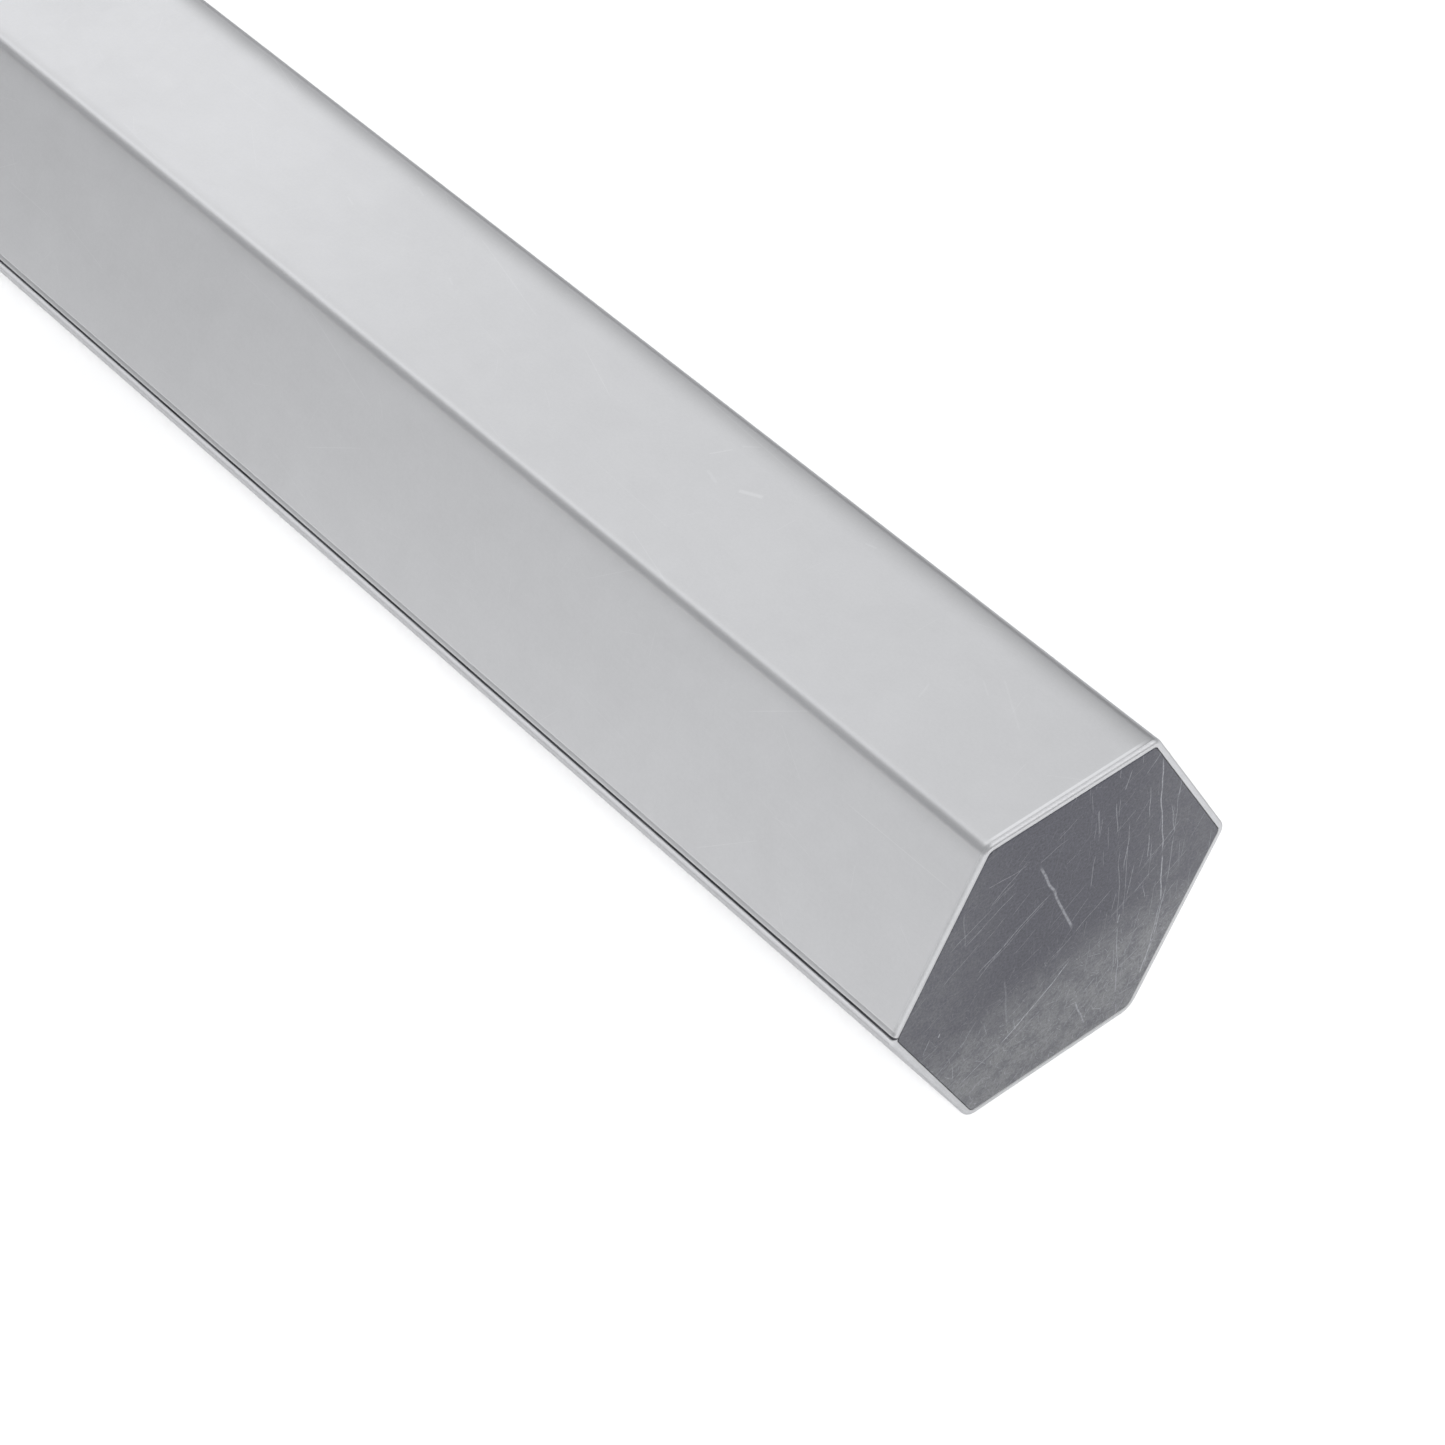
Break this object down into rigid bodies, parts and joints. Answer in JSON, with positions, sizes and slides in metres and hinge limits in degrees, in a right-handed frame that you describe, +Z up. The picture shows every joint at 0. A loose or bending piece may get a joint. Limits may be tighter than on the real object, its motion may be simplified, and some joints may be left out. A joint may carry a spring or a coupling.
{
  "type": "rock tumbler barrel",
  "caption": "Long hexagonal metal barrel with a dark plate in its closed end, a moulded rubber liner, and a gasketed lid with a folding pull held by round thumb nuts.",
  "frame": {"origin": "middle of the bounding box in X and Y, at the height of the flat that the barrel lies on", "axes": "+X along the barrel's axis towards the closed end, +Z up, flats above and below, long edges to both sides along Y"},
  "size_m": [0.5232, 0.1142, 0.1],
  "materials": {
    "shell_metal": "pale satin mill finish with fine scratches and a soft haze",
    "dark_plate": "dark blue-grey, dull, with many fine bright scratches",
    "ring_metal": "machined, lightly worn",
    "bright_steel": "plain bright steel",
    "bracket_steel": "pressed sheet steel, satin",
    "screw_steel": "plain screw steel",
    "nut_steel": "fluted and turned, satin",
    "liner_rubber": "moulded, matt",
    "seal_rubber": "cut sheet rubber, matt"
  },
  "bodies": {
    "barrel": {"shell": "shell_metal", "end_plate": "dark_plate", "mouth_ring": "ring_metal", "lid_studs": "bright_steel", "rubber_liner": "liner_rubber", "lid_gasket": "seal_rubber"},
    "lid": {"lid_plate": "shell_metal", "lid_pad": "seal_rubber", "clamp_disc": "ring_metal", "disc_screws": "screw_steel", "pull_bracket": "bracket_steel", "bracket_screws": "screw_steel"},
    "pull": {"folding_pull": "bright_steel"},
    "washer_carrier_1": {"washer_1": "bright_steel"},
    "nut_1": {"thumb_nut_1": "nut_steel"},
    "washer_carrier_2": {"washer_2": "bright_steel"},
    "nut_2": {"thumb_nut_2": "nut_steel"},
    "washer_carrier_3": {"washer_3": "bright_steel"},
    "nut_3": {"thumb_nut_3": "nut_steel"},
    "washer_carrier_4": {"washer_4": "bright_steel"},
    "nut_4": {"thumb_nut_4": "nut_steel"},
    "washer_carrier_5": {"washer_5": "bright_steel"},
    "nut_5": {"thumb_nut_5": "nut_steel"},
    "washer_carrier_6": {"washer_6": "bright_steel"},
    "nut_6": {"thumb_nut_6": "nut_steel"}
  },
  "joints": [
    {"name": "lid_lift", "type": "slide", "parent": "barrel", "child": "lid", "axis": [-1, 0, 0], "range_m": [0, 0.06]},
    {"name": "pull_swing", "type": "hinge", "parent": "lid", "child": "pull", "pos_m": [-0.25365, 0, 0.05], "axis": [0, 1, 0], "range_deg": [-10, 190]},
    {"name": "nut_travel_1", "type": "slide", "parent": "lid", "child": "washer_carrier_1", "axis": [-1, 0, 0], "range_m": [0, 0.01301]},
    {"name": "nut_spin_1", "type": "hinge", "parent": "washer_carrier_1", "child": "nut_1", "pos_m": [-0.25365, -0.046, 0.05], "axis": [-1, 0, 0], "range_deg": [0, 4680]},
    {"name": "nut_travel_2", "type": "slide", "parent": "lid", "child": "washer_carrier_2", "axis": [-1, 0, 0], "range_m": [0, 0.01301]},
    {"name": "nut_spin_2", "type": "hinge", "parent": "washer_carrier_2", "child": "nut_2", "pos_m": [-0.25365, -0.023, 0.08984], "axis": [-1, 0, 0], "range_deg": [0, 4680]},
    {"name": "nut_travel_3", "type": "slide", "parent": "lid", "child": "washer_carrier_3", "axis": [-1, 0, 0], "range_m": [0, 0.01301]},
    {"name": "nut_spin_3", "type": "hinge", "parent": "washer_carrier_3", "child": "nut_3", "pos_m": [-0.25365, 0.023, 0.08984], "axis": [-1, 0, 0], "range_deg": [0, 4680]},
    {"name": "nut_travel_4", "type": "slide", "parent": "lid", "child": "washer_carrier_4", "axis": [-1, 0, 0], "range_m": [0, 0.01301]},
    {"name": "nut_spin_4", "type": "hinge", "parent": "washer_carrier_4", "child": "nut_4", "pos_m": [-0.25365, 0.046, 0.05], "axis": [-1, 0, 0], "range_deg": [0, 4680]},
    {"name": "nut_travel_5", "type": "slide", "parent": "lid", "child": "washer_carrier_5", "axis": [-1, 0, 0], "range_m": [0, 0.01301]},
    {"name": "nut_spin_5", "type": "hinge", "parent": "washer_carrier_5", "child": "nut_5", "pos_m": [-0.25365, 0.023, 0.01016], "axis": [-1, 0, 0], "range_deg": [0, 4680]},
    {"name": "nut_travel_6", "type": "slide", "parent": "lid", "child": "washer_carrier_6", "axis": [-1, 0, 0], "range_m": [0, 0.01301]},
    {"name": "nut_spin_6", "type": "hinge", "parent": "washer_carrier_6", "child": "nut_6", "pos_m": [-0.25365, -0.023, 0.01016], "axis": [-1, 0, 0], "range_deg": [0, 4680]}
  ],
  "couplings": [
    {"joint": "nut_travel_1", "follows": "nut_spin_1", "m_per_rad": 0.00015915},
    {"joint": "nut_travel_2", "follows": "nut_spin_2", "m_per_rad": 0.00015915},
    {"joint": "nut_travel_3", "follows": "nut_spin_3", "m_per_rad": 0.00015915},
    {"joint": "nut_travel_4", "follows": "nut_spin_4", "m_per_rad": 0.00015915},
    {"joint": "nut_travel_5", "follows": "nut_spin_5", "m_per_rad": 0.00015915},
    {"joint": "nut_travel_6", "follows": "nut_spin_6", "m_per_rad": 0.00015915}
  ]
}
